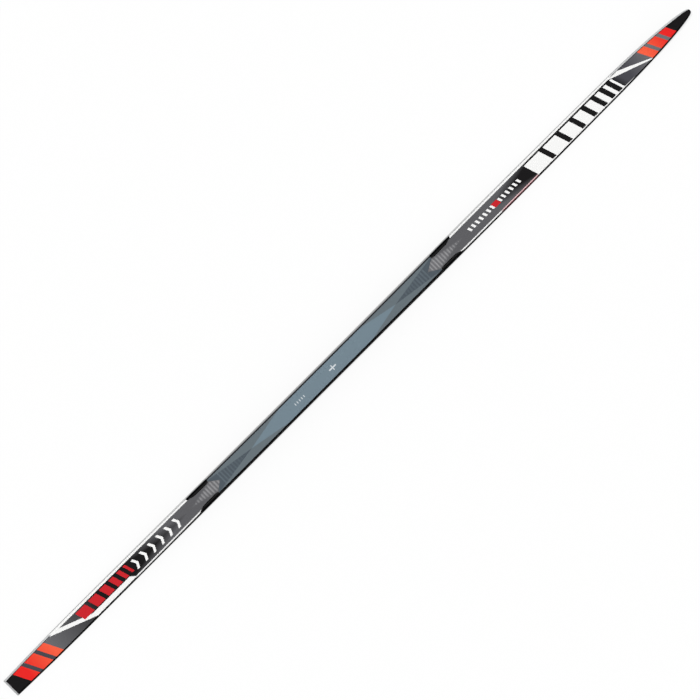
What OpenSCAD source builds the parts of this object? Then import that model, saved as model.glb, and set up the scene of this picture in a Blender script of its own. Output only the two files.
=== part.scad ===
/* [Plan outline] */
// Length along the ground from tail to tip
ski_len = 1910; // [1700:10:2100]
// Width of the tail end
tail_w = 41; // [36:0.5:46]
// Greatest width behind the binding
rear_w = 47.2; // [45:0.2:52]
// Distance of that greatest width from the tail end
rear_at = 170; // [130:5:300]
// Width at the waist, under the binding
waist_w = 45; // [43:0.2:50]
// Greatest width ahead of the binding
front_w = 46.6; // [45:0.2:52]
// Distance of that greatest width from the tip
front_at = 570; // [400:5:620]
// Width where the nose begins to close
nose_w = 43.2; // [38:0.2:48]
// Length of the closing nose
nose_len = 240; // [160:5:320]
// Roundness of the nose, where 0.5 is an ellipse
nose_power = 0.55; // [0.45:0.01:0.7]
// Width of the blunt end of the tip
tip_w = 6; // [4:0.5:12]

/* [Side profile] */
// Height of the camber arch under the binding
camber_h = 16; // [4:0.5:26]
// Height that the tip turns up
tip_rise = 38; // [20:1:60]
// Length of the turned-up tip, ahead of the front contact line
tip_curve = 270; // [200:5:340]
// Height that the tail turns up
tail_rise = 3; // [1:0.5:12]
// Length of the turned-up tail, behind the rear contact line
tail_curve = 110; // [60:5:140]
// Thickness at the crown of the camber arch
mid_t = 25; // [20:0.5:32]
// Thickness at the front contact line
front_t = 9.8; // [7:0.1:12]
// Thickness at the rear contact line
rear_t = 9.4; // [7:0.1:12]
// Thickness at the tip
tip_t = 5.5; // [4.6:0.1:8]
// Thickness at the tail end
tail_t = 6.5; // [4.6:0.1:9]

/* [Cross section] */
// Inward lean of each flank, from the base edge up to the shoulder, in degrees
flank_lean = 7.4; // [2:0.1:12]
// Width of the top bevel on the fore and rear body
bevel_w = 4.2; // [2.8:0.1:6]
// Height of the top bevel on the fore and rear body
bevel_h = 2.8; // [1.5:0.1:5]
// Width of the top bevel beside the binding pad
pad_bevel_w = 2.9; // [2.7:0.1:4]
// Height of the top bevel beside the binding pad
pad_bevel_h = 2.4; // [1.5:0.1:5]
// Width of the scalloped bevel in the two necks
neck_bevel_w = 7.1; // [4.4:0.1:9]
// Height of the scalloped bevel in the two necks
neck_bevel_h = 6; // [2:0.1:9]
// Width of a sidewall at its top
sidewall_w = 2.3; // [1.5:0.1:2.6]

/* [Layers] */
// Thickness of the running base
base_t = 1.5; // [1.2:0.1:2]
// Thickness of each fibre laminate
laminate_t = 0.8; // [0.4:0.1:1]
// Thickness of the top sheet
sheet_t = 0.7; // [0.4:0.1:0.9]
// Width of the centre groove
groove_w = 3; // [2:0.1:3.6]
// Depth of the centre groove
groove_h = 0.9; // [0.4:0.1:1]
// Length of the tip spacer
tip_spacer_len = 200; // [120:5:300]
// Length of the tail spacer
tail_spacer_len = 90; // [50:5:125]

/* [Binding zone] */
// Length of the binding pad
pad_len = 627; // [560:1:660]
// Distance of the pad's middle behind the ski's middle
pad_back = 71.5; // [40:0.5:100]
// Length of the level seat in the middle of the pad
seat_len = 200; // [160:5:320]
// Thickness of the binding pad
pad_t = 0.6; // [0.4:0.1:2]
// Margin between the pad and the edge of the level top
pad_margin = 0.2; // [0.1:0.1:1]
// Depth of the arrow notch in the rear end of the pad
rear_notch = 19; // [8:1:40]
// Depth of the arrow notch in the front end of the pad
front_notch = 24; // [8:1:40]
// Length of each neck
neck_len = 58; // [40:1:90]
// Length of the S-curve that opens each neck
neck_run = 20; // [6:0.5:25]
// Length of the shoulder between a neck and the pad
shoulder_run = 1.5; // [1:0.5:6]
// Thickness of the reinforcement plate
plate_t = 2; // [1:0.1:3]
// Thickness of the feathered ends of the plate
plate_edge = 0.3; // [0.2:0.1:0.6]
// Length of each feathered end of the plate
plate_taper = 30; // [15:1:60]
// Length that the plate reaches past the pad at each end
plate_past = 20; // [5:1:40]

/* [Ribs] */
// Distance from one rib to the next
rib_pitch = 7; // [5:0.5:12]
// Width of a rib
rib_w = 3.2; // [1.5:0.1:4]
// Height of a rib
rib_h = 0.2; // [0.1:0.05:0.4]
// Margin between the end of a rib and the edge of the field that it lies in
rib_margin = 0.8; // [0.5:0.1:2]
// Distance from the point of a notch to the first rib on the pad
rib_gap = 5; // [3:0.5:10]
// Length of the ribbed triangle at each end of the pad
rib_field = 112; // [80:1:160]
// Length of the ribbed tongue on the rear neck
rear_tongue = 60; // [30:1:90]
// Length of the ribbed tongue on the front neck
front_tongue = 74; // [30:1:90]

/* [Hidden] */

// Places along the ski, measured from the tail end
rear_contact = tail_curve;
front_contact = ski_len - tip_curve;
pad_mid = ski_len / 2 - pad_back;
pad_rear = pad_mid - pad_len / 2;
pad_front = pad_mid + pad_len / 2;
seat_rear = pad_mid - seat_len / 2;
seat_front = pad_mid + seat_len / 2;
plate_rear = pad_rear - plate_past;
plate_front = pad_front + plate_past;
core_rear = tail_spacer_len;
core_front = ski_len - tip_spacer_len;
widest_front = ski_len - front_at;
nose_start = ski_len - nose_len;

// Half width under which the bevels shrink with the closing nose
full_section = 12;
// Share of the room above the laminate that a bevel may take in the thin ends
bevel_share = 0.7;
// Inward slope of the sides of the laminate's and plate's bed in the core
bed_slope = 0.25;
// Slope width of each groove wall, and the groove's depth where it runs out
groove_wall = 0.4;
groove_fade = 0.1;
// Power of the turned-up tip's curve
tip_power = 2.2;
// Spacing of the sections along the body, and their number in the nose and in a neck's S-curve
body_step = 46;
nose_steps = 15;
neck_steps = 5;
// Length of the step in the core's bed at each end of the plate
bed_step = 0.5;
// Reach of a cutter past the solid that it cuts
past = 1;

function mix(a, b, t) = a + (b - a) * t;
function ease(a, b, t) = mix(a, b, (1 - cos(180 * t)) / 2);
function share(s, from, to) = (s - from) / (to - from);
function sorted(v) =
    len(v) < 2 ? v :
    let (pivot = v[floor(len(v) / 2)])
    concat(sorted([for (e = v) if (e < pivot) e]), [pivot], sorted([for (e = v) if (e > pivot) e]));

// Width of the base at a place along the ski
function nose_width(ahead) = mix(tip_w, nose_w, pow(1 - pow(1 - ahead / nose_len, 2), nose_power));
function width(s) =
    s <= rear_at ? mix(tail_w, rear_w, sin(90 * s / rear_at)) :
    s <= pad_mid ? ease(rear_w, waist_w, share(s, rear_at, pad_mid)) :
    s <= widest_front ? ease(waist_w, front_w, share(s, pad_mid, widest_front)) :
    s <= nose_start ? mix(nose_w, front_w, cos(90 * share(s, widest_front, nose_start))) :
    nose_width(ski_len - s);

// Height of the running surface, with its camber arch and both turned-up ends
function arch(s) =
    let (along = 2 * share(s, rear_contact, front_contact) - 1)
    camber_h * pow(1 - along * along, 2);
function under(s) =
    s < rear_contact ? tail_rise * pow(1 - s / rear_contact, 2) :
    s > front_contact ? tip_rise * pow(share(s, front_contact, ski_len), tip_power) :
    arch(s);

// Height of the top, level along the seat
seat_z = camber_h + mid_t;
function over(s) =
    s < rear_contact ? under(s) + mix(tail_t, rear_t, s / rear_contact) :
    s < seat_rear ? ease(rear_t, seat_z, share(s, rear_contact, seat_rear)) :
    s <= seat_front ? seat_z :
    s < front_contact ? ease(seat_z, front_t, share(s, seat_front, front_contact)) :
    under(s) + mix(front_t, tip_t, share(s, front_contact, ski_len));

// A bevel size at a place: beside the pad, in a neck or on the body
function by_zone(s, pad_size, neck_size, body_size) =
    let (away = max(pad_rear - s, s - pad_front), opening = neck_len - neck_run)
    away <= 0 ? pad_size :
    away < shoulder_run ? mix(pad_size, neck_size, away / shoulder_run) :
    away < opening ? neck_size :
    away < neck_len ? ease(neck_size, body_size, (away - opening) / neck_run) :
    body_size;

// Thickness of the reinforcement plate at a place, with feathered ends
function plate_at(s) =
    let (inside = min(s - plate_rear, plate_front - s))
    inside < 0 ? 0 : mix(plate_edge, plate_t, min(1, inside / plate_taper));

// Depth of the groove, which runs out in the turned-up tip
function groove_at(s) =
    let (run_out = share(s, front_contact, nose_start + nose_len / 2))
    mix(groove_h, groove_fade, min(1, max(0, run_out)));

// Sections along the ski, closer in the nose, the tail and the necks
nose_places = [for (i = [0 : nose_steps]) ski_len - nose_len * pow(i / nose_steps, 2)];
neck_places = [for (i = [0 : neck_steps]) neck_len - neck_run * i / neck_steps];
key_places = [0, tail_curve / 5, tail_curve / 2, rear_contact, front_contact, rear_at, core_rear, core_front,
              plate_rear - bed_step, plate_rear, plate_rear + plate_taper,
              plate_front - plate_taper, plate_front, plate_front + bed_step,
              pad_rear - shoulder_run, pad_rear, pad_front, pad_front + shoulder_run,
              seat_rear, seat_front];
body_places = [for (s = [rear_at : body_step : nose_start - body_step / 2]) s];
places = sorted(concat(key_places, nose_places, body_places,
                       [for (d = neck_places) pad_rear - d],
                       [for (d = neck_places) pad_front + d]));

// Corner points of every layer at a place, as [y, z] on the left half
function corners(s) =
    let (hw = width(s) / 2,
         full = min(1, hw / full_section),
         bottom = under(s),
         top = over(s),
         base_top = bottom + base_t,
         bed = base_top + laminate_t,
         lid = top - sheet_t,
         drop = min(by_zone(s, pad_bevel_h, neck_bevel_h, bevel_h), (lid - bed) * bevel_share),
         shoulder_z = lid - drop,
         shoulder_y = hw - tan(flank_lean) * (shoulder_z - base_top),
         level_y = shoulder_y - by_zone(s, pad_bevel_w, neck_bevel_w, bevel_w) * full,
         inner_y = shoulder_y - sidewall_w * full,
         inner_z = mix(shoulder_z, lid, share(inner_y, shoulder_y, level_y)),
         bed_y = hw - tan(flank_lean) * laminate_t,
         roof_y = level_y - bed_slope * laminate_t,
         roof_z = lid - laminate_t,
         plate = plate_at(s))
    [["edge", [hw, bottom]],
     ["base_top", [hw, base_top]],
     ["bed", [bed_y, bed]],
     ["shoulder", [shoulder_y, shoulder_z]],
     ["inner", [inner_y, inner_z]],
     ["inner_foot", [inner_y, bed]],
     ["lid", [level_y, lid]],
     ["lid_foot", [level_y, bed]],
     ["roof", [roof_y, roof_z]],
     ["plate", [roof_y - bed_slope * plate, roof_z - plate]],
     ["plate_foot", [roof_y - bed_slope * plate, bed]]];
function corner(table, name) = table[search([name], table)[0]][1];
function raised(p, by) = [p.x, p.y + by];

// One section of a solid: its upper and lower lines of points from right to left, made from the left half
function mirrored(half) =
    concat([for (p = half) [-p.x, p.y]], [for (i = [len(half) - 1 : -1 : 0]) half[i]]);
function ring(s, upper, lower) =
    concat([for (p = upper) [s - ski_len / 2, p.x, p.y]],
           [for (i = [len(lower) - 1 : -1 : 0]) [s - ski_len / 2, lower[i].x, lower[i].y]]);

// Each twisted patch is split the same way on both solids that meet there
function outer(p) = abs(p.y) + p.z / 3;
function patch(rings, i, j) =
    let (size = len(rings[0]),
         next = (j + 1) % size,
         a = i * size + j,
         b = i * size + next,
         c = b + size,
         d = a + size)
    outer(rings[i][j]) > outer(rings[i][next]) ? [[a, b, c], [a, c, d]] : [[a, b, d], [b, c, d]];
function end_face(first, size, tail) =
    [for (j = [0 : size / 2 - 2])
        let (a = first + j, b = a + 1, d = first + size - 1 - j, c = d - 1)
        each tail ? [[a, d, c], [a, c, b]] : [[a, b, c], [a, c, d]]];

module loft(rings) {
    size = len(rings[0]);
    last = len(rings) - 1;
    sides = [for (i = [0 : last - 1]) for (j = [0 : size - 1]) each patch(rings, i, j)];
    ends = concat(end_face(0, size, true), end_face(last * size, size, false));
    polyhedron(points = [for (r = rings) each r], faces = concat(sides, ends), convexity = 6);
}

function between(from, to) = [for (s = places) if (s >= from && s <= to) s];

// Height of the top along the straight runs between the sections, and its climb under a rib in degrees
tops = [for (s = places) [s, over(s)]];
function top_at(s) = lookup(s, tops);
function climb(s) = atan((top_at(s + rib_w / 2) - top_at(s - rib_w / 2)) / rib_w);

// Half width of the level top at a place
function level_half(s) = corner(corners(s), "lid").x;

// A symmetric layer between two places, from the names of its upper and lower corners
module layer(from, to, upper, lower) {
    loft([for (s = between(from, to))
        let (table = corners(s))
        ring(s, mirrored([for (name = upper) corner(table, name)]),
                mirrored([for (name = lower) corner(table, name)]))]);
}

// Sintered sole with square edges and a centre groove
module running_base() {
    color("#1d1f22")
    loft([for (s = between(0, ski_len))
        let (table = corners(s),
             edge = corner(table, "edge"),
             top = corner(table, "base_top"),
             groove_in = groove_w / 2 - groove_wall)
        ring(s, mirrored([top, [groove_w / 2, top.y], [groove_in, top.y]]),
                mirrored([edge, [groove_w / 2, edge.y], [groove_in, edge.y + groove_at(s)]]))]);
}

module lower_laminate() {
    color("#7d8471")
    layer(0, ski_len, ["bed"], ["base_top"]);
}

// One flank strip, whose outer face slants in to the shoulder under the top sheet's edge
module sidewall(side) {
    color("#17181a")
    loft([for (s = between(core_rear, core_front))
        let (table = corners(s),
             upper = [corner(table, "inner"), corner(table, "shoulder")],
             lower = [corner(table, "inner_foot"), corner(table, "bed")])
        side > 0 ? ring(s, upper, lower) :
        ring(s, [for (i = [1, 0]) [-upper[i].x, upper[i].y]],
                [for (i = [1, 0]) [-lower[i].x, lower[i].y]])]);
}

module sidewall_left() {
    sidewall(1);
}

module sidewall_right() {
    sidewall(-1);
}

// Core with a bed along its top for the laminate and the reinforcement plate
module foam_core() {
    color("#d8c48a")
    layer(core_rear, core_front, ["inner", "lid", "plate"], ["inner_foot", "lid_foot", "plate_foot"]);
}

// Full-width fillers of the thin ends
module spacer(from, to) {
    color("#2a2c30")
    layer(from, to, ["shoulder", "inner", "lid", "plate"], ["bed", "inner_foot", "lid_foot", "plate_foot"]);
}

module tip_spacer() {
    spacer(core_front, ski_len);
}

module tail_spacer() {
    spacer(0, core_rear);
}

// Plate with feathered ends, let into the core under the binding
module binding_plate() {
    color("#b9bcc0")
    layer(plate_rear, plate_front, ["roof"], ["plate"]);
}

module upper_laminate() {
    color("#6e7568")
    layer(0, ski_len, ["lid"], ["roof"]);
}

// A row of cross ribs on a surface that lies a lift above the top. Distances count from an end of the pad,
// half gives the row's half width at a distance, and root is how deep a rib is rooted in its piece
module ribs(end, inward, first, last, half, lift, root) {
    for (d = [first : rib_pitch : last])
        let (s = end + d * inward,
             rear = half(d - rib_w / 2 * inward) - rib_margin,
             front = half(d + rib_w / 2 * inward) - rib_margin)
        if (min(rear, front) > rib_margin)
            translate([s - ski_len / 2, 0, top_at(s) + lift])
            rotate([0, -climb(s), 0])
            translate([-rib_w / 2, 0, -root])
            linear_extrude(height = rib_h + root)
            polygon([[0, -rear], [rib_w, -front], [rib_w, front], [0, rear]]);
}

// Half width of the neck's level top, where it meets an end of the pad
function mouth(end, inward) = level_half(end - shoulder_run * inward);

// Ribs of a tongue, which widens along the neck to the pad and closes to a point in the pad's notch
module tongue_ribs(end, inward, tongue, notch_len) {
    widest = mouth(end, inward);
    half = function (d) widest * min(1 + d / tongue, 1 - d / notch_len);
    ribs(end, inward, -rib_pitch * floor(tongue / rib_pitch), notch_len, half, 0, sheet_t / 2);
}

// Film formed over the top, the bevels and the scalloped necks, with the ribs of both tongues
module topsheet() {
    skin = ["shoulder", "inner", "lid"];
    color("#3a3d42")
    union() {
        loft([for (s = between(0, ski_len))
            let (table = corners(s),
                 under_side = [for (name = skin) corner(table, name)])
            ring(s, mirrored([for (p = under_side) raised(p, sheet_t)]), mirrored(under_side))]);
        tongue_ribs(pad_rear, 1, rear_tongue, rear_notch);
        tongue_ribs(pad_front, -1, front_tongue, front_notch);
    }
}

// Arrow that the pad's end is notched by, as wide as the neck's level top
module notch(end, inward, notch_len) {
    spread = mouth(end, inward) * (notch_len + past) / notch_len;
    translate([end - ski_len / 2, 0, 0])
    linear_extrude(height = seat_z + pad_t + past)
    polygon([[-past * inward, -spread], [notch_len * inward, 0], [-past * inward, spread]]);
}

// Ribs that shorten from a notch towards the seat
module pad_ribs(end, inward, notch_len) {
    widest = level_half(end) - pad_margin;
    half = function (d) widest * (1 - d / rib_field);
    ribs(end, inward, notch_len + rib_gap, rib_field, half, pad_t, pad_t / 2);
}

// Ribbed pad bonded along the top of the binding zone, level along the seat
module binding_pad() {
    color("#75879a")
    union() {
        difference() {
            loft([for (s = between(pad_rear, pad_front))
                let (lid = corner(corners(s), "lid"),
                     foot = [lid.x - pad_margin, lid.y + sheet_t])
                ring(s, mirrored([raised(foot, pad_t)]), mirrored([foot]))]);
            notch(pad_rear, 1, rear_notch);
            notch(pad_front, -1, front_notch);
        }
        pad_ribs(pad_rear, 1, rear_notch);
        pad_ribs(pad_front, -1, front_notch);
    }
}

running_base();
lower_laminate();
sidewall_left();
sidewall_right();
foam_core();
tip_spacer();
tail_spacer();
binding_plate();
upper_laminate();
topsheet();
binding_pad();
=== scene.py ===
import math
import bmesh
import bpy
import numpy as np
from mathutils import Matrix, Vector


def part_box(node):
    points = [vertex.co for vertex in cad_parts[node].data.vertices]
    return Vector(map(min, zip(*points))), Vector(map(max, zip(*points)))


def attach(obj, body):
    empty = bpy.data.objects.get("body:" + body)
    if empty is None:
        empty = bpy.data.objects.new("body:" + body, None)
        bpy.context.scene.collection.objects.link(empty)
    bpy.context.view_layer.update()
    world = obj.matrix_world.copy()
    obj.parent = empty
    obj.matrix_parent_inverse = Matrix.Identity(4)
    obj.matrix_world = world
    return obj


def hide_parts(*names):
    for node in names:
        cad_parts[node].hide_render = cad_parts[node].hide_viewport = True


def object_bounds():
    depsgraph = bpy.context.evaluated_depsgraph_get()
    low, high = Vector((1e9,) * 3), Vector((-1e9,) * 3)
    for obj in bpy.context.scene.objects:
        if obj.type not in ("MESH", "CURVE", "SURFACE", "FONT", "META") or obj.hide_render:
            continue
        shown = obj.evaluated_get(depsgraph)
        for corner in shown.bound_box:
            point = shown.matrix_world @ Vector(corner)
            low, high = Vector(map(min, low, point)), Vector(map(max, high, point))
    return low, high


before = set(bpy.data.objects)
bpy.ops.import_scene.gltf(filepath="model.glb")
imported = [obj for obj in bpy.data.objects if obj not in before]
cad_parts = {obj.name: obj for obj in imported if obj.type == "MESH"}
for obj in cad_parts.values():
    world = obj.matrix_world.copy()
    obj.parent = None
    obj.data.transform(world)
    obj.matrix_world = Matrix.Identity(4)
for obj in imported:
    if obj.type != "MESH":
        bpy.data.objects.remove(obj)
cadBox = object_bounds()
mm = 0.001
hair = 0.0001 * mm  # corners that lie closer are one
tailEnd = cadBox[0].x
tipEnd = cadBox[1].x
print("frame loaded:", len(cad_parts), "nodes,", round((tipEnd - tailEnd) / mm), "mm long")


# Lines along the ski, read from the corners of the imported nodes

def ringsOf(node, least):  # a node's sections that have at least so many corners
    rings = {}
    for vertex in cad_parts[node].data.vertices:
        x, y, z = vertex.co
        rings.setdefault(round(x, 5), set()).add((round(y, 6), round(z, 6)))
    return {x: sorted(rings[x]) for x in sorted(rings) if len(rings[x]) >= least}


def lineOf(rings, pick):  # one size of the sections, at any place along the ski
    places = list(rings)
    values = [pick(ring) for ring in rings.values()]
    return lambda x: float(np.interp(x, places, values))


filmRings = ringsOf("topsheet", least=12)
lidRings = ringsOf("upper_laminate", least=4)
filmHalf = lineOf(filmRings, lambda ring: ring[-1][0])
shoulderTop = lineOf(filmRings, lambda ring: ring[-1][1])
shoulderLow = lineOf(filmRings, lambda ring: ring[-2][1])
lidHalf = lineOf(lidRings, lambda ring: ring[-1][0])
lidLow = lineOf(lidRings, lambda ring: ring[-1][1])
sheet = shoulderTop(tailEnd) - shoulderLow(tailEnd)  # thickness of the film
padLow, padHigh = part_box("binding_pad")
padMiddle = (padLow.x + padHigh.x) / 2
padEnds = {"rear": (padLow.x - tailEnd) / mm, "front": (padHigh.x - tailEnd) / mm}  # from the tail end
inward = {"rear": 1, "front": -1}

nose = {
    "round": 2.5 * mm,  # corners of the tip, seen from above
    "dome": 0.3,  # share of the height over the film's lower edge that is left at the very end
    "run": 14 * mm,  # stretch over which the outline's corners are evened out
    "even": 2.5 * mm,  # how far that reaches to each side
    "samples": 9,
    "slices": 12,
    "turns": 12,
}


def noseFall(x):  # 0 before the rounding of the tip and 1 at its end, on a quarter circle
    turn = min(1, max(0, 1 - (tipEnd - x) / nose["round"]))
    return 1 - math.sqrt(1 - turn ** 2)


def noseShare(x):  # the share of the width that the rounded tip keeps
    reach = min(nose["even"], x - tipEnd + nose["run"], tipEnd - x)
    samples = np.linspace(-reach, reach, nose["samples"]) if reach > 0 else [0]
    even = sum(filmHalf(x + step) for step in samples) / len(samples)
    return (even - nose["round"] * noseFall(x)) / filmHalf(x)


def domed(x, z):  # a height, drawn down to the film's lower edge where the tip ends
    low = shoulderLow(x)
    return low + (z - low) * (1 - (1 - nose["dome"]) * noseFall(x)) if z > low else z


def nosePlaces():
    slices = np.linspace(nose["run"], nose["round"], nose["slices"], endpoint=False)
    turns = [1 - math.sin(math.pi / 2 * turn / nose["turns"]) for turn in range(nose["turns"])]
    return [float(tipEnd - reach) for reach in (*slices, *(nose["round"] * turn for turn in turns))]


def shoulderY(x):
    return filmHalf(x) * noseShare(x)


def lidY(x):
    return lidHalf(x) * noseShare(x)


def lidTop(x):
    return lidLow(x) + sheet


padThick = padHigh.z - lidTop(padMiddle)


def fromTail(distance):  # a place given in millimetres from the tail end
    return tailEnd + distance * mm


def spanAt(x, y):  # 0 on the middle line, 1 at the lid's edge and 2 at the shoulder, left is positive
    lid, shoulder = lidY(x), shoulderY(x)
    share = abs(y) / lid if abs(y) < lid else 1 + (abs(y) - lid) / (shoulder - lid)
    return math.copysign(share, y)


def slopeAt(x):  # how steeply the top climbs there
    reach = 4 * mm
    return math.atan2(lidTop(x + reach) - lidTop(x - reach), 2 * reach)


# Meshes

def stationsFor(start, end, spacing):
    least = 0.25 * mm  # no two stations lie closer
    kept = [x for x in filmRings if start < x < end]
    steps = np.linspace(start, end, max(2, round((end - start) / spacing)))
    places = [start]
    for x in sorted([*kept, *(float(step) for step in steps[1:-1])]):
        if x - places[-1] > least and end - x > least:
            places.append(x)
    return [*places, end]


def rounded(before, corner, after, reach, steps):  # a corner drawn as a short curve
    most = 0.45  # share of a side that the curve may take
    arms = [(p - corner).normalized() * min(reach, most * (p - corner).length) for p in (before, after)]
    shares = [step / steps for step in range(steps + 1)]
    return [corner + arms[0] * (1 - share) ** 2 + arms[1] * share ** 2 for share in shares]


def closeEnds(bm):
    bmesh.ops.holes_fill(bm, edges=[edge for edge in bm.edges if edge.is_boundary])


def loft(stations, outline, slots):  # a grid rolled into a tube, with a row of corners at each station
    rounds = len(slots)
    bm = bmesh.new()
    span = bm.verts.layers.float.new("span")
    bmesh.ops.create_grid(bm, x_segments=rounds, y_segments=len(stations) - 1, size=1)
    bm.verts.ensure_lookup_table()
    bm.faces.ensure_lookup_table()
    for row, x in enumerate(stations):
        ring = outline(x)
        for column in range(rounds + 1):
            vertex = bm.verts[row * (rounds + 1) + column]
            vertex.co = (x, *ring[column % rounds])
            vertex[span] = spanAt(x, vertex.co.y)
    for face in bm.faces:
        face.material_index = slots[face.index % rounds]
    bmesh.ops.remove_doubles(bm, verts=bm.verts, dist=hair)
    closeEnds(bm)
    bmesh.ops.recalc_face_normals(bm, faces=bm.faces)
    return bm


def cadCopy(node):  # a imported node's mesh with its loose triangles merged
    flat = math.radians(0.02)
    bm = bmesh.new()
    bm.from_mesh(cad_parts[node].data)
    bmesh.ops.remove_doubles(bm, verts=bm.verts, dist=10 * hair)
    bmesh.ops.dissolve_limit(bm, angle_limit=flat, verts=bm.verts, edges=bm.edges)
    return bm


def sliceAt(bm, x, drop=0):  # drop -1 clears what lies behind the place, and 1 what lies before it
    geom = [*bm.verts, *bm.edges, *bm.faces]
    bmesh.ops.bisect_plane(bm, geom=geom, dist=hair, plane_co=(x, 0, 0), plane_no=(drop or 1, 0, 0),
                           clear_outer=drop != 0)


def cutBetween(bm, start, end):  # keeps the stretch between two places and closes its ends
    for place, drop in ((start, -1), (end, 1)):
        sliceAt(bm, place, drop)
        closeEnds(bm)


def roundNose(bm):
    for x in nosePlaces():
        sliceAt(bm, x)
    for vertex in bm.verts:
        x, y, z = vertex.co
        vertex.co = (x, y * noseShare(x), domed(x, z))


def sharpEdges(bm, degrees):
    least = math.radians(degrees)
    return [edge for edge in bm.edges if len(edge.link_faces) == 2 and edge.calc_face_angle(0) > least]


def soften(bm, width, degrees=30, segments=2):
    bmesh.ops.bevel(bm, geom=sharpEdges(bm, degrees), offset=width, offset_type="OFFSET", affect="EDGES",
                    segments=segments, profile=0.5, material=-1, clamp_overlap=True)


def piece(name, bm, node, looks, sharp=24):  # edges over that many degrees stay sharp
    crosswise = 0.9999  # faces that look straight along the ski stay flat
    for face in bm.faces:
        face.smooth = abs(face.normal.x) < crosswise
    for edge in bm.edges:
        edge.smooth = True
    for edge in sharpEdges(bm, sharp):
        edge.smooth = False
    mesh = bpy.data.meshes.new(name)
    bm.to_mesh(mesh)
    bm.free()
    made = bpy.data.objects.new(name, mesh)
    bpy.context.scene.collection.objects.link(made)
    for look in looks:
        mesh.materials.append(look)
    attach(made, "root")
    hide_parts(node)


# Shader sums

class Value:
    def __init__(self, look, socket):
        self.look = look
        self.socket = socket

    def by(self, operation, *others, clamp=False):
        return self.look.add("ShaderNodeMath", {"operation": operation, "use_clamp": clamp}, [self, *others])

    def __add__(self, other):
        return self.by("ADD", other)

    def __sub__(self, other):
        return self.by("SUBTRACT", other)

    def __rsub__(self, other):
        return self.look.add("ShaderNodeMath", {"operation": "SUBTRACT"}, [other, self])

    def __mul__(self, other):
        return self.by("MULTIPLY", other)

    def __or__(self, other):  # either mask
        return self.by("MAXIMUM", other)

    def __abs__(self):
        return self.by("ABSOLUTE")

    __radd__ = __add__
    __rmul__ = __mul__

    def past(self, at, soft=0.4):  # 0 before that place and 1 past it
        if isinstance(at, Value):
            return (self - at).past(0, soft)
        return self.by("MULTIPLY_ADD", 1 / soft, 0.5 - at / soft, clamp=True)

    def before(self, at, soft=0.4):
        if isinstance(at, Value):
            return (self - at).before(0, soft)
        return self.by("MULTIPLY_ADD", -1 / soft, 0.5 + at / soft, clamp=True)

    def between(self, low, high, soft=0.4):
        return self.past(low, soft) * self.before(high, soft)


class Nodes:  # any node tree
    def __init__(self, tree):
        self.tree = tree

    def add(self, kind, settings, inputs=(), output=0):
        node = self.tree.nodes.new(kind)
        for key, setting in settings.items():
            setattr(node, key, setting)
        for key, given in inputs.items() if isinstance(inputs, dict) else enumerate(inputs):
            if isinstance(given, Value):
                self.tree.links.new(given.socket, node.inputs[key])
            else:
                node.inputs[key].default_value = given
        return Value(self, node.outputs[output])

    def parts(self, vector):
        outputs = self.add("ShaderNodeSeparateXYZ", {}, [vector]).socket.node.outputs
        return [Value(self, socket) for socket in outputs]

    def feed(self, node, socket, given):
        self.tree.links.new(given.socket, self.tree.nodes[node].inputs[socket])


class Look(Nodes):  # a material on Object coordinates
    def __init__(self, name, **constants):
        self.material = bpy.data.materials.new(name)
        self.material.use_nodes = True
        super().__init__(self.material.node_tree)
        for socket, number in constants.items():
            self.tree.nodes["Principled BSDF"].inputs[socket.replace("_", " ")].default_value = number
        self.place = self.add("ShaderNodeTexCoord", {}, {}, "Object")
        x, y = self.parts(self.place)[:2]
        self.along = (x - tailEnd) * (1 / mm)  # millimetres from the tail end
        self.across = y * (1 / mm)  # millimetres, left is positive

    def span(self):  # the share of the width that the mesh carries
        return self.add("ShaderNodeAttribute", {"attribute_name": "span"}, {}, "Fac")

    def paint(self, under, colour, mask):
        return self.add("ShaderNodeMix", {"data_type": "RGBA"}, {0: mask, 6: under, 7: colour}, 2)

    def noise(self, size, detail=2):  # size of the grain along X, Y and Z, in millimetres
        scale = tuple(1 / (length * mm) for length in size)
        where = self.add("ShaderNodeMapping", {}, {"Vector": self.place, "Scale": scale})
        return self.add("ShaderNodeTexNoise", {}, {"Vector": where, "Scale": 1.0, "Detail": detail}, "Fac")

    def wear(self, colour, roughness, bump=None, height=0):  # height in millimetres
        self.feed("Principled BSDF", "Base Color", colour)
        self.feed("Principled BSDF", "Roughness", roughness)
        if bump is not None:
            inputs = {"Strength": 1.0, "Distance": height * mm, "Height": bump}
            self.feed("Principled BSDF", "Normal", self.add("ShaderNodeBump", {}, inputs, "Normal"))
        return self.material


def anyOf(masks):
    joined = masks[0]
    for mask in masks[1:]:
        joined = joined | mask
    return joined


def ink(red, green, blue):  # a printed colour, given as screen values
    parts = [v / 255 for v in (red, green, blue)]
    return (*(v / 12.92 if v <= 0.04045 else ((v + 0.055) / 1.055) ** 2.4 for v in parts), 1.0)


# Printed film over the top and the bevels. Places are in millimetres from the tail end

inks = {
    "black": ink(27, 26, 27),
    "grey": ink(99, 99, 102),
    "smoke": ink(74, 74, 80),
    "slate": ink(108, 108, 111),
    "ash": ink(114, 114, 117),
    "silver": ink(196, 197, 198),
    "pewter": ink(178, 179, 180),
    "white": ink(249, 249, 248),
    "red": ink(236, 40, 38),
    "orange": ink(250, 98, 68),
    "ruby": ink(204, 38, 46),
    "wine": ink(66, 8, 15),
    "blush": ink(240, 200, 203),
    "scallop": ink(9, 9, 10),
    # a lighter black, painted light for the left bevel beside the pad, the side facing the key light
    "litSideBlack": ink(46, 47, 50),
}

lacquer = {
    "roughness": 0.1,
    "clouds": {"size": (35, 12, 12), "detail": 3},
    "cloudAdds": 0.05,  # to the roughness
    "scuffs": {"size": (60, 0.5, 0.5), "detail": 3},
    "scuffEdge": {"at": 0.71, "soft": 0.05},
    "scuffAdds": 0.1,
    "peel": {"size": (1.6, 1.6, 1.6), "detail": 2},
    "peelHeight": 0.004,
}


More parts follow.
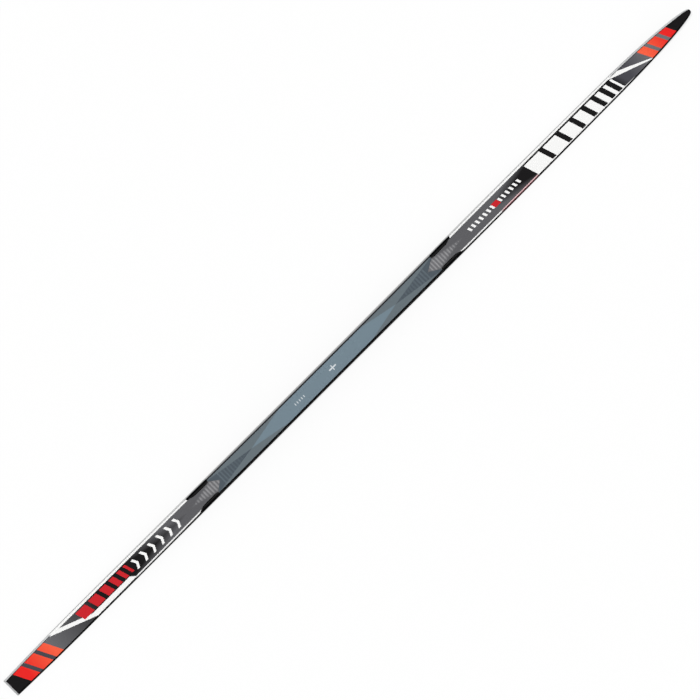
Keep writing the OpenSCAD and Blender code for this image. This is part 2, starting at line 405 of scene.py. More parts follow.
def filmFinish(look, colour):  # clear lacquer with faint orange peel and hairline scuffs
    scuffs = look.noise(**lacquer["scuffs"]).past(**lacquer["scuffEdge"])
    clouds = look.noise(**lacquer["clouds"])
    roughness = lacquer["roughness"] + clouds * lacquer["cloudAdds"] + scuffs * lacquer["scuffAdds"]
    return look.wear(colour, roughness, look.noise(**lacquer["peel"]), lacquer["peelHeight"])


def slantBars(look, start, widths, gap, slant, middle=0, half=None):  # a row of leaning bars
    leaning = look.along + (look.across - middle) * slant
    starts = [start + sum(widths[:i]) + gap * i for i in range(len(widths))]
    mask = anyOf([leaning.between(at, at + width) for at, width in zip(starts, widths)])
    return mask if half is None else mask * abs(look.across - middle).before(half)


def barsEnd(start, widths, gap, **others):
    return start + sum(widths) + gap * (len(widths) - 1)


def chevrons(look, start, count, pitch, stroke, half, lean):  # a row of arrow strokes
    folded = look.along + abs(look.across) * lean
    starts = [start + i * pitch for i in range(count)]
    return anyOf([folded.between(at, at + stroke) for at in starts]) * abs(look.across).before(half)


meshPrint = {  # fine crossed lines in the grey
    "pitch": 3.4,
    "lean": 0.6,
    "line": (0.3, 0.7),  # where a line begins and ends, in shares of the pitch
    "soft": 0.3,
    "plain": 0.13,  # strength of the lines where the grey is even
}


def hatch(look, colour, amount):
    rows = [look.along + look.across * side * meshPrint["lean"] for side in (-1, 1)]
    steps = [(row * (1 / meshPrint["pitch"])).by("FRACT") for row in rows]
    lines = [step.between(*meshPrint["line"], meshPrint["soft"]) for step in steps]
    return look.paint(colour, inks["black"], anyOf(lines) * amount)


bevelPrint = {
    "gloss": 0.12,  # the bevels mirror less than the lid
    "tailSilver": 130,  # end of the silver at the tail
    "rearRight": 335,  # the right bevel's white begins
    "rearWhite": {"left": 514, "right": 520},  # the white ends at the rear neck
    "foreWhite": {"left": 1252, "right": 1248},  # and begins again at the front neck
    "foreRight": 1366,  # the right bevel turns red
    "redEnd": 1466,
    "tipSilver": 1706,  # the silver begins again
    "tipEnd": {"at": 1909, "soft": 4},
    "fade": 6,  # length of a change of colour along the ski
    "longFade": 10,
    "redShare": {"at": 0.36, "soft": 0.12},  # how much of the bevel's width stays pale there
    "rightShare": {"at": 0.5, "soft": 0.1},  # how much of the right bevel is white
    "silverShare": {"at": 0.25, "soft": 0.1},  # how much of the left bevel stays dark at the two ends
    "printShare": {"at": 0.25, "soft": 0.1},  # how much of the right bevel the lid's print covers there
    "outline": {"at": 0.76, "soft": 0.05},  # where a thin grey line of painted shade along the left shoulder begins
    "cornerRun": {"left": 2, "right": 14},  # how far the white runs on at the lid's side beside the necks
    "leftRim": 17.2,  # how far from the middle the left white begins on the lid
    "rightRim": {"at": -0.97, "soft": 0.02},  # where on the lid the right bevel's print begins
    "neckRim": {"at": 0.91, "soft": 0.04},  # and the black of the scallops
    "neckRun": (3, 46),  # stretch of that black, from the pad's end
    "neckFade": 8,
}


def neckRim(look, end):
    reach = (padEnds[end] - look.along) * inward[end]
    run = reach.between(*bevelPrint["neckRun"], bevelPrint["neckFade"])
    return run * abs(look.span()).past(**bevelPrint["neckRim"])


def lidRims(look, left, right):  # the bevels' white, where it reaches onto the lid
    leftRim = look.across.past(bevelPrint["leftRim"])
    rightRim = look.span().before(**bevelPrint["rightRim"])
    return left * leftRim | right * rightRim


rearPrint = {
    "border": 3.5,  # edge along the tail end
    "motif": {"start": 31, "widths": (24, 27, 20), "gap": 9, "slant": 0.5},
    "blush": {"at": 83, "soft": 70},  # where the motif turns from red to orange
    "dusk": {"at": 180, "soft": 130},  # where the slate turns to black
    # broad white stroke, and the band on the right that it runs on in
    "slash": {"low": 175, "high": 197, "lean": 2.6, "band": -9.5, "end": 314, "endLean": 1.2},
    "redBars": {
        "start": 199, "widths": (27, 22, 17, 13, 9, 6), "gap": 9, "slant": 0.3, "middle": 3.5, "half": 11,
    },
    "chevrons": {"start": 353, "count": 6, "pitch": 23, "stroke": 6, "half": 11, "lean": 0.5},
    "fade": {"at": 455, "soft": 90},  # where the black turns to grey
    "fadeLean": 5,
}


def rearColour(look):
    along, across = look.along, look.across
    slash, motif = rearPrint["slash"], rearPrint["motif"]
    motifLine = along + across * motif["slant"]
    colour = look.paint(inks["black"], inks["smoke"], motifLine.past(motif["start"]))
    dusk = look.paint(inks["slate"], inks["black"], along.past(**rearPrint["dusk"]))
    shade = (along + abs(across) * rearPrint["fadeLean"]).past(**rearPrint["fade"])
    body = hatch(look, look.paint(dusk, inks["grey"], shade), shade * (1 + meshPrint["plain"] - shade))
    colour = look.paint(colour, body, motifLine.past(barsEnd(**motif)))
    tint = look.paint(inks["red"], inks["orange"], along.past(**rearPrint["blush"]))
    colour = look.paint(colour, tint, slantBars(look, **motif))
    colour = look.paint(colour, inks["pewter"], along.before(rearPrint["border"]))
    leaning = along + across * slash["lean"]
    sweep = leaning.past(slash["low"]) * (leaning.before(slash["high"]) | across.before(slash["band"]))
    sweep = sweep * (along + across * slash["endLean"]).before(slash["end"])
    colour = look.paint(colour, inks["white"], sweep)
    colour = look.paint(colour, inks["ruby"], slantBars(look, **rearPrint["redBars"]))
    colour = look.paint(colour, inks["white"], chevrons(look, **rearPrint["chevrons"]))
    left = along.between(bevelPrint["tailSilver"], bevelPrint["rearWhite"]["left"], bevelPrint["fade"])
    right = along.between(bevelPrint["rearRight"], bevelPrint["rearWhite"]["right"], bevelPrint["fade"])
    colour = look.paint(colour, inks["white"], lidRims(look, left, right))
    colour = look.paint(colour, inks["scallop"], neckRim(look, "rear"))
    return look.paint(colour, inks["ash"], tongueMask(look, "rear"))


forePrint = {
    "fade": {"at": 1365, "soft": 70},  # where the grey turns to black
    "fadeLean": -4.5,
    "ticks": {"start": 1290, "widths": (5,) * 14, "gap": 5.5, "slant": 0.35, "middle": 0.5, "half": 4.5},
    "block": {"start": 1358, "widths": (15,), "gap": 0, "slant": 0.35, "middle": 0.5, "half": 5.5},
    "bars": {
        "start": 1462, "widths": (42, 35, 28, 22, 17, 12, 8, 5), "gap": 11, "slant": 0.32, "middle": -2,
        "half": 15.5,
    },
    "line": {"from": 1466, "fromSoft": 4, "to": 1722, "toSoft": 40},  # thin stripe along the right edge
    "lineShare": {"at": 0.29, "soft": 0.1},  # how much of the bevel's width it takes
    "slash": {"low": 1743, "lowLean": 2.8, "high": 1759, "highLean": 2.2},  # narrow white stroke
    "wedge": {"at": 1714, "soft": 16},  # dark triangles on both sides of the slash
    "dawn": {"at": 1766, "soft": 60},  # where they turn paler
    "motif": {"start": 1784, "widths": (18, 21, 18), "gap": 8, "slant": 0.5},
    "blush": {"at": 1815, "soft": 50},  # where the motif turns from orange to red
}


def lineRun(look):
    line = forePrint["line"]
    return look.along.past(line["from"], line["fromSoft"]) * look.along.before(line["to"], line["toSoft"])


def foreColour(look):
    along, across = look.along, look.across
    bars, slash, motif = forePrint["bars"], forePrint["slash"], forePrint["motif"]
    shade = (along + abs(across) * forePrint["fadeLean"]).past(**forePrint["fade"])
    field = look.paint(inks["grey"], inks["black"], shade)
    colour = hatch(look, field, (1 - shade) * (shade + meshPrint["plain"]))
    colour = look.paint(colour, inks["white"], slantBars(look, **forePrint["ticks"]))
    colour = look.paint(colour, inks["ruby"], slantBars(look, **forePrint["block"]))
    dawn = look.paint(inks["smoke"], inks["ash"], along.past(**forePrint["dawn"]))
    barLine = along + (across - bars["middle"]) * bars["slant"]
    colour = look.paint(colour, dawn, barLine.past(**forePrint["wedge"]))
    colour = look.paint(colour, inks["white"], slantBars(look, **bars))
    left = along.between(bevelPrint["foreWhite"]["left"], bevelPrint["tipSilver"], bevelPrint["fade"])
    right = along.between(bevelPrint["foreWhite"]["right"], bevelPrint["foreRight"], bevelPrint["longFade"])
    colour = look.paint(colour, inks["white"], lidRims(look, left, right | lineRun(look)))
    redRun = along.between(bevelPrint["foreRight"], bevelPrint["redEnd"], bevelPrint["longFade"])
    colour = look.paint(colour, inks["blush"], redRun * look.span().before(**bevelPrint["rightRim"]))
    pastLow = (along + across * slash["lowLean"]).past(slash["low"])
    beforeHigh = (along + across * slash["highLean"]).before(slash["high"])
    colour = look.paint(colour, dawn, pastLow)
    colour = look.paint(colour, inks["white"], pastLow * beforeHigh)
    tint = look.paint(inks["orange"], inks["red"], along.past(**forePrint["blush"]))
    colour = look.paint(colour, tint, slantBars(look, **motif))
    colour = look.paint(colour, inks["black"], (along + across * motif["slant"]).past(barsEnd(**motif)))
    colour = look.paint(colour, inks["scallop"], neckRim(look, "front"))
    return look.paint(colour, inks["ash"], tongueMask(look, "front"))


waistPrint = {"size": (50, 20, 20)}


def waistColour(look):  # under the pad
    clouds = look.paint(inks["grey"], inks["smoke"], look.noise(**waistPrint))
    return hatch(look, clouds, meshPrint["plain"])


prints = {"rear": rearColour, "waist": waistColour, "fore": foreColour}


def lidFilm(zone):
    look = Look("film_%s_print" % zone)
    return filmFinish(look, prints[zone](look))


def bevelFilm(zone):
    look = Look("film_%s_bevel" % zone, Specular_IOR_Level=bevelPrint["gloss"])
    along, span = look.along, look.span()
    fade, longFade = bevelPrint["fade"], bevelPrint["longFade"]
    share = abs(span) - 1  # 0 at the lid and 1 at the shoulder
    left = span.past(0)
    right = 1 - left
    beforeNeck, afterNeck = {}, {}
    for side in ("left", "right"):
        corner = share * bevelPrint["cornerRun"][side]
        beforeNeck[side] = (along + corner).before(bevelPrint["rearWhite"][side])
        afterNeck[side] = (along - corner).past(bevelPrint["foreWhite"][side])

    silver = along.before(bevelPrint["tailSilver"], fade) | along.past(bevelPrint["tipSilver"], longFade)
    leftWhite = beforeNeck["left"] | afterNeck["left"] * along.before(**bevelPrint["tipEnd"])
    leftWhite = leftWhite * (1 - silver * share.before(**bevelPrint["silverShare"]))
    rightWhite = beforeNeck["right"] * along.past(bevelPrint["rearRight"], fade)
    rightWhite = rightWhite | afterNeck["right"] * along.before(bevelPrint["foreRight"], longFade)
    rightWhite = rightWhite * share.before(**bevelPrint["rightShare"])
    pale = look.paint(inks["white"], inks["silver"], silver)
    # painted shade: a grey line along the outer part of the left bevel, standing in for the shade at the
    # ski's left edge
    pale = look.paint(pale, inks["pewter"], (1 - silver) * share.past(**bevelPrint["outline"]))

    line = forePrint["line"]
    ends = along.before(bevelPrint["rearRight"], fade) | along.past(line["to"], line["toSoft"])
    # painted light: beside the pad the left bevel is a lighter black than the right, as the side facing the
    # key light
    beside = left * along.between(padEnds["rear"], padEnds["front"], fade)
    colour = look.paint(inks["scallop"], inks["litSideBlack"], beside)
    colour = look.paint(colour, prints[zone](look), right * ends * share.before(**bevelPrint["printShare"]))
    colour = look.paint(colour, pale, left * leftWhite | right * rightWhite)
    twoLines = look.paint(inks["blush"], inks["wine"], share.past(**bevelPrint["redShare"]))
    redRun = along.between(bevelPrint["foreRight"], bevelPrint["redEnd"], longFade)
    colour = look.paint(colour, twoLines, right * redRun)
    colour = look.paint(colour, inks["white"], right * lineRun(look) * share.before(**forePrint["lineShare"]))
    colour = look.paint(colour, inks["pewter"], along.before(rearPrint["border"]))
    return filmFinish(look, colour)


film = {
    "spacing": 8 * mm,
    "sharp": 16,
    "edgeRound": 0.25 * mm,
    "edgeSteps": 2,
    "lidRound": 1.3 * mm,
    "lidSteps": 4,
    "endRound": 0.5 * mm,  # roll of the film over the tail
    "endSteps": (0.08, 0.3, 0.6, 1),
    "scoop": 0.45 * mm,  # hollow of the scalloped necks
    "scoopFrom": 4.3 * mm,  # bevel width where the hollow begins, and where it is full
    "scoopFull": 7.0 * mm,
    "bow": ((0.25, 0.75), (0.5, 1), (0.75, 0.75)),  # shares of the way up the bevel and of the hollow there
    "pieces": {  # where each begins, and its print
        "tail": (0, "rear"),
        "rear": (256, "rear"),
        "rear_neck": (505, "rear"),
        "waist": (600, "waist"),
        "front_neck": (1166, "fore"),
        "fore": (1262, "fore"),
        "shovel": (1480, "fore"),
        "tip": (1700, "fore"),
    },
}


def filmOutline(x):
    reach = film["endRound"]
    short = reach - min(reach, x - tailEnd)
    thick = sheet - reach + math.sqrt(max(0, reach ** 2 - short ** 2))
    y, low, under = shoulderY(x), shoulderLow(x), lidLow(x)
    foot, edge = Vector((y, low)), Vector((y, low + thick))
    lid, crown = Vector((lidY(x), under + thick)), Vector((0, under + thick))
    hollow = (y - lid.x - film["scoopFrom"]) / (film["scoopFull"] - film["scoopFrom"])
    run = lid - edge
    dip = Vector((-run.y, run.x)).normalized() * film["scoop"] * min(1, max(0, hollow))
    shoulder = rounded(foot, edge, lid, film["edgeRound"], film["edgeSteps"])
    bevel = [edge + run * share + dip * depth for share, depth in film["bow"]]
    brow = rounded(edge, lid, crown, film["lidRound"] * thick / sheet, film["lidSteps"])
    half = [foot, *shoulder, *bevel, *brow]
    mirrored = [Vector((-p.x, p.y)) for p in reversed(half)]
    ring = [*half, *mirrored, Vector((-lid.x, under)), Vector((lid.x, under))]
    return [(p.x, domed(x, p.y)) for p in ring]


def filmStations(start, end):
    roll = [tailEnd + film["endRound"] * share for share in film["endSteps"]]
    extra = [x for x in (*nosePlaces(), *roll) if start < x < end]
    return sorted([*stationsFor(start, end, film["spacing"]), *extra])


def buildFilm():
    looks = {zone: [lidFilm(zone), bevelFilm(zone)] for zone in prints}
    flap = [1] * (2 + film["edgeSteps"] + len(film["bow"]) + film["lidSteps"] // 2)
    lid = [0] * (film["lidSteps"] + 1)
    underside = [1] * 3
    starts = [start for start, zone in film["pieces"].values()]
    ends = [*starts[1:], (tipEnd - tailEnd) / mm]
    for (name, (start, zone)), end in zip(film["pieces"].items(), ends):
        stations = filmStations(fromTail(start), fromTail(end))
        bm = loft(stations, filmOutline, [*flap, *lid, *flap, *underside])
        piece("film_" + name, bm, "topsheet", looks[zone], film["sharp"])
    print("film pieces:", len(ends))


# Blue-grey pad of the binding zone, with its ribs

pad = {
    "edge": 0.18 * mm,
    "margin": 0.2 * mm,
    "spacing": 12 * mm,
    "names": ("rear", "middle", "front"),
    "cuts": (740, 1010),
    "overrun": 1,  # how far the outer cuts lie past the pad's ends
    "light": ink(117, 135, 146),
    "middle": ink(105, 116, 122),
    "dark": ink(81, 91, 99),
    "mark": ink(214, 220, 224),
    "points": (678, 1082),  # where the dark triangles end and the light field begins
    "lightFull": (768, 1000),
    "ticks": (800, 806, 812, 818, 824),
    "tickWide": 1.6,
    "tickHalf": 2.5,
    "bar": (896, 914),  # two crossed strokes, the long one and the short one
    "barHalf": 1.4,
    "post": (904, 906),
    "postHalf": 6,
    "shadeRim": 0.6,  # painted shade: a dark line along the right edge, the side away from the key light
    "roughness": 0.34,
    "clouds": {"size": (20, 9, 9), "detail": 3},
    "cloudAdds": 0.1,
    "grain": {"size": (0.5, 0.5, 0.5), "detail": 2},
    "grainAdds": 0.06,
    "grainHeight": 0.01,
}


def padLook():
    look = Look("pad_satin_film")
    along, off = look.along, abs(look.across)
    wide = lidY(padMiddle) / mm
    rearPoint, frontPoint = pad["points"]
    rearFull, frontFull = pad["lightFull"]
    darkRear = off.before((rearPoint - along) * (wide / (rearPoint - padEnds["rear"])))
    darkFront = off.before((along - frontPoint) * (wide / (padEnds["front"] - frontPoint)))
    lightRear = off.before((along - rearPoint) * (wide / (rearFull - rearPoint)))
    lightFront = off.before((frontPoint - along) * (wide / (frontPoint - frontFull)))
    colour = look.paint(pad["middle"], pad["dark"], darkRear | darkFront)
    colour = look.paint(colour, pad["light"], lightRear * lightFront)
    ticks = anyOf([along.between(place, place + pad["tickWide"]) for place in pad["ticks"]])
    bar = along.between(*pad["bar"]) * off.before(pad["barHalf"])
    post = along.between(*pad["post"]) * off.before(pad["postHalf"])
    colour = look.paint(colour, pad["mark"], ticks * off.before(pad["tickHalf"]) | bar | post)
    # painted shade: the pad's right edge is darkened, as the side away from the key light
    colour = look.paint(colour, inks["scallop"], look.across.before(pad["shadeRim"] - wide))
    clouds = look.noise(**pad["clouds"])
    grain = look.noise(**pad["grain"])
    roughness = pad["roughness"] + clouds * pad["cloudAdds"] + grain * pad["grainAdds"]
    return look.wear(colour, roughness, grain, pad["grainHeight"])


def padHalf(x):
    return lidY(x) - pad["margin"]


def padShape():  # cut out flat, then laid over the top
    rear, front = padLow.x, padHigh.x
    half = padHalf(padMiddle)
    rearDepth, frontDepth = (ribs["notch"][end] * mm for end in ("rear", "front"))
    rightSide = [(rear + rearDepth, 0), (rear, -neckHalf["rear"]), (rear, -half),
                 (front, -half), (front, -neckHalf["front"]), (front - frontDepth, 0)]
    leftSide = [(x, -y) for x, y in rightSide[-2:0:-1]]
    bm = bmesh.new()
    face = bm.faces.new([bm.verts.new((x, y, 0)) for x, y in (*rightSide, *leftSide)])
    raised = bmesh.ops.extrude_face_region(bm, geom=[face])["geom"]
    top = [part for part in raised if isinstance(part, bmesh.types.BMVert)]
    bmesh.ops.translate(bm, verts=top, vec=(0, 0, padThick))
    bmesh.ops.recalc_face_normals(bm, faces=bm.faces)
    soften(bm, pad["edge"])
    bmesh.ops.triangulate(bm, faces=bm.faces)
    for x in stationsFor(rear, front, pad["spacing"])[1:-1]:
        sliceAt(bm, x)
    for vertex in bm.verts:
        x, y, z = vertex.co
        vertex.co = (x, y * padHalf(x) / half, z + lidTop(x))
    return bm


ribs = {
    "pitch": 7,
    "wide": 3.2,
    "high": 0.2 * mm,
    "sunk": 0.15 * mm,
    "edge": 0.09 * mm,
    "sharp": 50,
    "margin": 0.8,
    "gap": 5,  # from a notch's point to the pad's first rib
    "field": 112,  # length of the ribbed triangle at each end of the pad
    "notch": {"rear": 19, "front": 24},
    "tongue": {"rear": 60, "front": 74},  # lengths of the ribbed tongues on the necks
    "neckReach": 20,  # where the width of a neck is taken, from the pad's end
    "glowIn": 7,  # how far inside its sides a tongue is at its palest
    "glowFrom": 2.1,
    "paleFrom": 50,  # how far past the dark triangles' points the pad's ribs turn paler
    "paleSoft": 110,
    "slate": ink(99, 110, 118),
    "silver": ink(147, 147, 149),
    "roughness": 0.32,
    "clouds": {"size": (6, 3, 3), "detail": 3},
    "cloudAdds": 0.14,
    "cloudShare": (0.85, 0.3),  # least share of the paler colour, and what a cloud adds to it
}
neckHalf = {end: lidY(fromTail(padEnds[end] - ribs["neckReach"] * inward[end])) for end in padEnds}


def tongueMask(look, end):  # full along the middle of a tongue and nil outside it
    reach = (look.along - padEnds[end]) * inward[end]
    half = neckHalf[end] / mm
    side = (reach * (1 / ribs["tongue"][end]) + 1) * half - abs(look.across)
    arrow = (1 - reach * (1 / ribs["notch"][end])) * half - abs(look.across)
    return side.past(ribs["glowFrom"], ribs["glowIn"]) * arrow.past(0)


def fieldMask(look):  # full towards both ends of the pad
    low, high = pad["points"]
    return abs(look.along - (low + high) / 2).past((high - low) / 2 + ribs["paleFrom"], ribs["paleSoft"])


def ribFinish(look, dark, pale, mask):
    clouds = look.noise(**ribs["clouds"])
    least, more = ribs["cloudShare"]
    colour = look.paint(dark, pale, mask * (least + clouds * more))
    roughness = ribs["roughness"] + clouds * ribs["cloudAdds"]
    return look.wear(colour, roughness, look.noise(**pad["grain"]), pad["grainHeight"])


def tongueRibLook(end):
    look = Look("rib_silver_" + end)
    return ribFinish(look, inks["grey"], ribs["silver"], tongueMask(look, end))


def padRibLook():
    look = Look("rib_slate")
    return ribFinish(look, pad["dark"], ribs["slate"], fieldMask(look))


def ribRow(end, distances, halfAt, topAt):  # distances count inwards from the pad's end
    bm = bmesh.new()
    for distance in distances:
        edges = [distance + side * ribs["wide"] / 2 * inward[end] for side in (-1, 1)]
        halves = [halfAt(edge) - ribs["margin"] for edge in edges]
        if min(halves) < ribs["margin"]:
            continue
        x = fromTail(padEnds[end] + distance * inward[end])
        bar = bmesh.ops.create_cube(bm, size=1)["verts"]
        for corner in bar:
            side = 0 if corner.co.x < 0 else 1
            corner.co.x *= ribs["wide"] * mm
            corner.co.y *= 2 * halves[side] * mm
            corner.co.z = ribs["high"] if corner.co.z > 0 else -ribs["sunk"]
        turn = Matrix.Rotation(-slopeAt(x), 4, "Y")
        bmesh.ops.transform(bm, verts=bar, matrix=Matrix.Translation((x, 0, topAt(x))) @ turn)
    soften(bm, ribs["edge"])
    return bm


def padRibs(end):
    wide = padHalf(fromTail(padEnds[end])) / mm
    distances = np.arange(ribs["notch"][end] + ribs["gap"], ribs["field"], ribs["pitch"])
    return ribRow(end, distances, lambda d: wide * (1 - d / ribs["field"]), lambda x: lidTop(x) + padThick)


def tongueRibs(end):
    wide, tongue, notch = neckHalf[end] / mm, ribs["tongue"][end], ribs["notch"][end]
    distances = np.arange(-ribs["pitch"] * (tongue // ribs["pitch"]), notch, ribs["pitch"])
    return ribRow(end, distances, lambda d: wide * min(1 + d / tongue, 1 - d / notch), lidTop)


def buildPad():
    look, ribLook = padLook(), padRibLook()
    shape = padShape()
    cuts = [padEnds["rear"] - pad["overrun"], *pad["cuts"], padEnds["front"] + pad["overrun"]]
    for name, start, end in zip(pad["names"], cuts, cuts[1:]):
        bm = shape.copy()
        cutBetween(bm, fromTail(start), fromTail(end))
        piece("pad_" + name, bm, "binding_pad", [look])
    shape.free()
    for end in padEnds:
        piece("pad_ribs_" + end, padRibs(end), "binding_pad", [ribLook], ribs["sharp"])
        silver = tongueRibLook(end)
        piece("tongue_ribs_" + end, tongueRibs(end), "topsheet", [silver], ribs["sharp"])
    print("pad pieces:", len(pad["names"]), "and rib rows:", 2 * len(padEnds))


# Flanks, base and layers

flanks = {
    "edge": 0.12 * mm,
    "baseEdge": 0.3 * mm,
    "coatRoughness": 0.05,
    "left": {"roughness": 0.12, "gloss": 0.6, "coat": 0.8},  # glossy, so that it mirrors the lit floor beside it
    "right": {"roughness": 0.6, "gloss": 0.0, "coat": 0.0},  # the same ABS made dull, so that this side reads dark like the shaded side
}

# Tones are where in the grain the light one begins and ends, and how softly. Heights are in millimetres
finishes = {
    "sidewall": {
        "dark": ink(18, 18, 19), "light": ink(30, 30, 31), "tones": (0.5, 0.8, 0.3),
        "grain": {"size": (90, 0.35, 0.35), "detail": 3}, "grainAdds": 0.08, "height": 0.006,
        "marks": {"size": (25, 10, 10), "detail": 2}, "marksAdd": 0.06, "marksLift": 0,
    },
    "base": {
        "dark": ink(30, 31, 33), "light": ink(46, 47, 50), "tones": (0.42, 0.72, 0.25), "roughness": 0.26,
        "grain": {"size": (220, 0.28, 2), "detail": 3}, "grainAdds": 0.16, "height": 0.02,
        "marks": {"size": (9, 0.6, 2), "detail": 2}, "marksAdd": 0.05, "marksLift": 0.4,
    },
    "laminate": {
        "dark": ink(34, 35, 33), "light": ink(62, 64, 58), "tones": (0.45, 0.75, 0.2), "roughness": 0.3,
        "grain": {"size": (30, 0.25, 0.12), "detail": 3}, "grainAdds": 0.2, "height": 0.01,
    },
    "spacer": {
        "dark": ink(20, 20, 21), "light": ink(34, 34, 36), "tones": (0.5, 0.8, 0.3), "roughness": 0.16,
        "grain": {"size": (40, 0.5, 0.3), "detail": 3}, "grainAdds": 0.14, "height": 0.006,
    },
    "plate": {
        "dark": ink(168, 172, 176), "light": ink(198, 200, 202), "tones": (0.4, 0.7, 0.2), "roughness": 0.42,
        "grain": {"size": (3, 1.2, 1), "detail": 4}, "grainAdds": 0.16, "height": 0.03,
    },
    "foam": {
        "dark": ink(196, 174, 118), "light": ink(226, 208, 160), "tones": (0.2, 0.7, 0.5), "roughness": 0.7,
        "cells": 900.0, "grainAdds": 0.2, "height": 0.2,
    },
}


def foamCells(look, scale):
    inputs = {"Vector": look.place, "Scale": scale}
    return look.add("ShaderNodeTexVoronoi", {"feature": "F1"}, inputs, "Distance")


def layerLook(name, finish, **constants):
    look = Look(name, **constants)
    grain = foamCells(look, finish["cells"]) if "cells" in finish else look.noise(**finish["grain"])
    colour = look.paint(finish["dark"], finish["light"], grain.between(*finish["tones"]))
    roughness = finish["roughness"] + grain * finish["grainAdds"]
    bump = grain
    if "marks" in finish:
        marks = look.noise(**finish["marks"])
        roughness = roughness + marks * finish["marksAdd"]
        if finish["marksLift"]:
            bump = bump + marks * finish["marksLift"]
    return look.wear(colour, roughness, bump, finish["height"])


# one sidewall material in two copies: the right is made dull so that it reads dark as the shaded side
def sidewallLook(side):
    flank = flanks[side]
    finish = {**finishes["sidewall"], "roughness": flank["roughness"]}
    return layerLook("sidewall_black_abs_" + side, finish, Specular_IOR_Level=flank["gloss"],
                     Coat_Weight=flank["coat"], Coat_Roughness=flanks["coatRoughness"])


def buildBody():
    for side in ("left", "right"):
        bm = cadCopy("sidewall_" + side)
        soften(bm, flanks["edge"], degrees=35, segments=1)
        piece("flank_" + side, bm, "sidewall_" + side, [sidewallLook(side)])
    bm = cadCopy("running_base")
    soften(bm, flanks["baseEdge"], degrees=60)
    roundNose(bm)
    base = layerLook("base_ground_polyethylene", finishes["base"])
    piece("base_sole", bm, "running_base", [base])
    laminate = layerLook("laminate_dark_fibre", finishes["laminate"])
    for level in ("lower", "upper"):
        bm = cadCopy(level + "_laminate")
        roundNose(bm)
        piece("laminate_" + level, bm, level + "_laminate", [laminate])
    spacer = layerLook("spacer_black_abs", finishes["spacer"])
    for end in ("tip", "tail"):
        bm = cadCopy(end + "_spacer")
        roundNose(bm)
        piece("filler_" + end, bm, end + "_spacer", [spacer])
    print("flanks, base, laminates and fillers made")


def dressInside():  # the nodes that nothing shows keep their solids
    looks = {
        "foam_core": layerLook("core_closed_cell_foam", finishes["foam"]),
        "binding_plate": layerLook("plate_pressed_composite", finishes["plate"]),
    }
    for node, look in looks.items():
        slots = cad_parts[node].data.materials
        slots.clear()
        slots.append(look)
    print("inner nodes dressed:", len(looks))


# Floor, light and camera

studio = {
    "floorSize": 120.0,
    "floorGap": 0.2 * mm,
    "floor": (0.97, 0.97, 0.97, 1.0),
    "shade": (0.955, 0.955, 0.955, 1.0),
    "paper": {"size": (40, 40, 40)},
    "roughness": 0.85,
    "paperAdds": 0.1,
    "paperWhite": 0.75,  # how much of the floor's own white shows over its shading
    "key": {"height": 83, "turn": 8, "power": 2.05, "width": 8},  # from the ski's left, in degrees
    "fill": {"height": 90, "turn": 0, "power": 1.0, "width": 160},
    "zenith": 0.05,
    "horizon": 0.14,
    "falloff": 2.2,  # how fast the light fades above the horizon
    "rightSide": 0.6,  # share of the horizon's light on the ski's right
}


def floorLook():  # paper whose white shows to the eye and in gloss, with the shadow kept
    look = Look("floor_white_paper", Specular_IOR_Level=0.0)
    paper = look.noise(**studio["paper"])
    colour = look.paint(studio["floor"], studio["shade"], paper)
    look.wear(colour, studio["roughness"] + paper * studio["paperAdds"])
    lit = Value(look, look.tree.nodes["Principled BSDF"].outputs["BSDF"])
    rays = ("Is Camera Ray", "Is Glossy Ray", "Is Transmission Ray")
    share = anyOf([look.add("ShaderNodeLightPath", {}, {}, ray) for ray in rays]) * studio["paperWhite"]
    white = look.add("ShaderNodeEmission", {}, {"Strength": 1.0})
    look.feed("Material Output", "Surface", look.add("ShaderNodeMixShader", {}, [share, lit, white]))
    return look.material


def buildFloor():
    bm = bmesh.new()
    bmesh.ops.create_grid(bm, x_segments=1, y_segments=1, size=studio["floorSize"] / 2)
    bmesh.ops.translate(bm, verts=bm.verts, vec=(0, 0, cadBox[0].z - studio["floorGap"]))
    mesh = bpy.data.meshes.new("studio_floor")
    bm.to_mesh(mesh)
    bm.free()
    mesh.materials.append(floorLook())
    floor = bpy.data.objects.new("studio_floor", mesh)
    bpy.context.scene.collection.objects.link(floor)


def buildLamp(name, height, turn, power, width):  # a wide lamp far away
    sun = bpy.data.lights.new(name, "SUN")
    sun.energy = power
    sun.angle = math.radians(width)
    lamp = bpy.data.objects.new(name, sun)
    bpy.context.scene.collection.objects.link(lamp)
    up, aside = math.radians(height), math.radians(turn)
    towards = Vector((-math.sin(aside) * math.cos(up), math.cos(aside) * math.cos(up), math.sin(up)))
    lamp.rotation_euler = towards.to_track_quat("Z", "Y").to_euler()
    lamp.visible_glossy = False  # the gloss shows the room, not the lamps


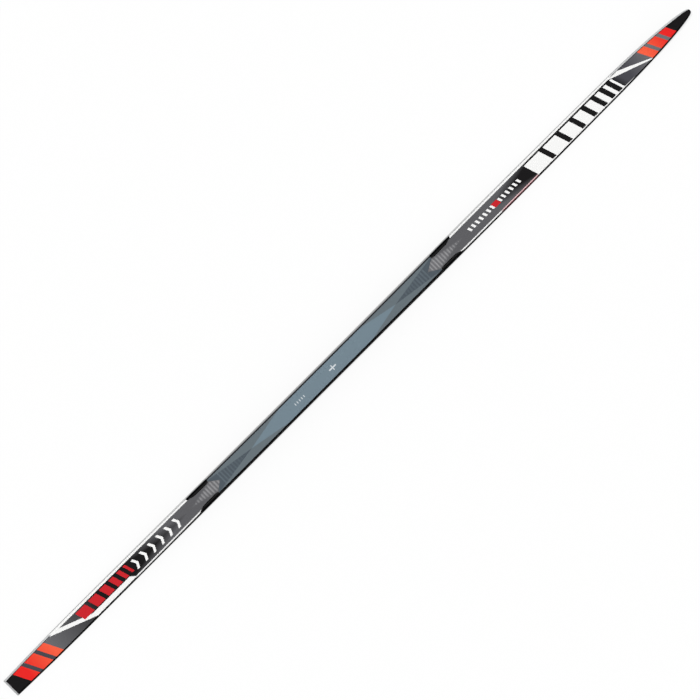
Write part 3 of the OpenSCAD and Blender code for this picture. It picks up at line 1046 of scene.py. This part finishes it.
def buildWorld():  # a dim room, a little brighter at the horizon and on the ski's left
    world = bpy.data.worlds.new("studio_world")
    bpy.context.scene.world = world
    world.use_nodes = True
    sky = Nodes(world.node_tree)
    y, z = sky.parts(sky.add("ShaderNodeTexCoord", {}, {}, "Generated"))[1:]
    toLeft = (y * 0.5 + 0.5) * (1 - studio["rightSide"]) + studio["rightSide"]
    low = (1 - z.by("ABSOLUTE", clamp=True)).by("POWER", studio["falloff"]) * toLeft
    sky.feed("Background", "Strength", low * (studio["horizon"] - studio["zenith"]) + studio["zenith"])
    world.node_tree.nodes["Background"].inputs["Color"].default_value = (1, 1, 1, 1)


view = {
    "middlePixel": (349.6, 349.05),  # where the ski's middle lies in the picture
    "pixels": 700,
    "perPixel": 1.9898 * mm,
    "lens": 600.0,
    "sensor": 36.0,
    "lean": 1.5,  # degrees from straight above, towards the ski's left
}


def buildCamera():
    scene = bpy.context.scene
    camera = bpy.data.cameras.new("product_view")
    camera.lens = view["lens"]
    camera.sensor_width = view["sensor"]
    eye = bpy.data.objects.new("product_view", camera)
    scene.collection.objects.link(eye)
    lean = math.radians(view["lean"])
    back = Vector((0, math.sin(lean), math.cos(lean)))
    right = Vector((1, -1, 0))
    right = (right - back * right.dot(back)).normalized()
    up = back.cross(right)
    distance = view["pixels"] * view["perPixel"] * view["lens"] / view["sensor"]
    aside, down = (p + 0.5 - view["pixels"] / 2 for p in view["middlePixel"])  # to the pixel's own middle
    middle = Vector(((tailEnd + tipEnd) / 2, 0, lidTop(0) / 2))
    target = middle - right * aside * view["perPixel"] + up * down * view["perPixel"]
    turn = Matrix((right, up, back)).transposed().to_4x4()
    eye.matrix_world = Matrix.Translation(target + back * distance) @ turn
    camera.clip_end = 2 * distance
    scene.camera = eye
    scene.view_settings.view_transform = "Standard"


buildFilm()
buildPad()
buildBody()
dressInside()
buildFloor()
for lampName in ("key", "fill"):
    buildLamp(lampName + "_softbox", **studio[lampName])
buildWorld()
buildCamera()
print("studio and camera set")
